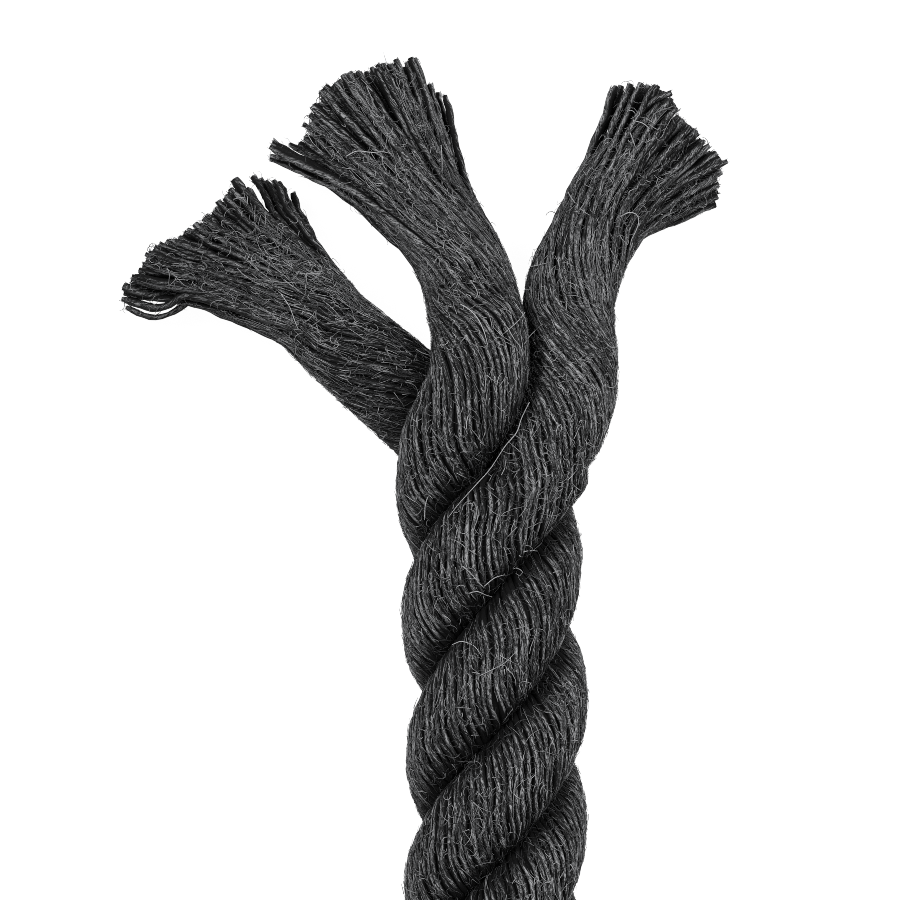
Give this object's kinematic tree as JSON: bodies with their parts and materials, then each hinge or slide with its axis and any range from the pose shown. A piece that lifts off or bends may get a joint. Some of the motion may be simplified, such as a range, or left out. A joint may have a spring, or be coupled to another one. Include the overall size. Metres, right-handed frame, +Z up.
{
  "type": "jute rope",
  "caption": "Thick black three-strand jute rope, one end unlaid and frayed into fans of yarn, the rest folded into a flat banded hank with a sleeved end.",
  "frame": {"origin": "on the floor, under the middle of the box round the whole rope", "axes": "+Y runs along the hank and the rope towards its frayed end, +Z up from the floor"},
  "size_m": [0.298, 0.8878, 0.0432],
  "materials": {
    "jute": "matte twisted jute yarns",
    "jute_yarn": "matte loose jute yarns",
    "webbing": "woven polyester",
    "shrink": "satin heat-shrink sleeve"
  },
  "bodies": {
    "root": {"left_strand": "jute", "left_yarn_bundle_01": "jute_yarn", "left_yarn_bundle_02": "jute_yarn", "left_yarn_bundle_03": "jute_yarn", "left_yarn_bundle_04": "jute_yarn", "left_yarn_bundle_05": "jute_yarn", "left_yarn_bundle_06": "jute_yarn", "left_yarn_bundle_07": "jute_yarn", "left_yarn_bundle_08": "jute_yarn", "left_yarn_bundle_09": "jute_yarn", "left_yarn_bundle_10": "jute_yarn", "left_yarn_bundle_11": "jute_yarn", "left_yarn_bundle_12": "jute_yarn", "left_yarn_bundle_13": "jute_yarn", "left_yarn_bundle_14": "jute_yarn", "left_yarn_bundle_15": "jute_yarn", "left_yarn_bundle_16": "jute_yarn", "left_yarn_bundle_17": "jute_yarn", "middle_strand": "jute", "middle_yarn_bundle_01": "jute_yarn", "middle_yarn_bundle_02": "jute_yarn", "middle_yarn_bundle_03": "jute_yarn", "middle_yarn_bundle_04": "jute_yarn", "middle_yarn_bundle_05": "jute_yarn", "middle_yarn_bundle_06": "jute_yarn", "middle_yarn_bundle_07": "jute_yarn", "middle_yarn_bundle_08": "jute_yarn", "middle_yarn_bundle_09": "jute_yarn", "middle_yarn_bundle_10": "jute_yarn", "middle_yarn_bundle_11": "jute_yarn", "middle_yarn_bundle_12": "jute_yarn", "middle_yarn_bundle_13": "jute_yarn", "middle_yarn_bundle_14": "jute_yarn", "middle_yarn_bundle_15": "jute_yarn", "middle_yarn_bundle_16": "jute_yarn", "middle_yarn_bundle_17": "jute_yarn", "right_strand": "jute", "right_yarn_bundle_01": "jute_yarn", "right_yarn_bundle_02": "jute_yarn", "right_yarn_bundle_03": "jute_yarn", "right_yarn_bundle_04": "jute_yarn", "right_yarn_bundle_05": "jute_yarn", "right_yarn_bundle_06": "jute_yarn", "right_yarn_bundle_07": "jute_yarn", "right_yarn_bundle_08": "jute_yarn", "right_yarn_bundle_09": "jute_yarn", "right_yarn_bundle_10": "jute_yarn", "right_yarn_bundle_11": "jute_yarn", "right_yarn_bundle_12": "jute_yarn", "right_yarn_bundle_13": "jute_yarn", "right_yarn_bundle_14": "jute_yarn", "right_yarn_bundle_15": "jute_yarn", "right_yarn_bundle_16": "jute_yarn", "right_yarn_bundle_17": "jute_yarn", "rope_hank": "jute", "hank_band": "webbing", "end_sleeve": "shrink"}
  },
  "joints": []
}
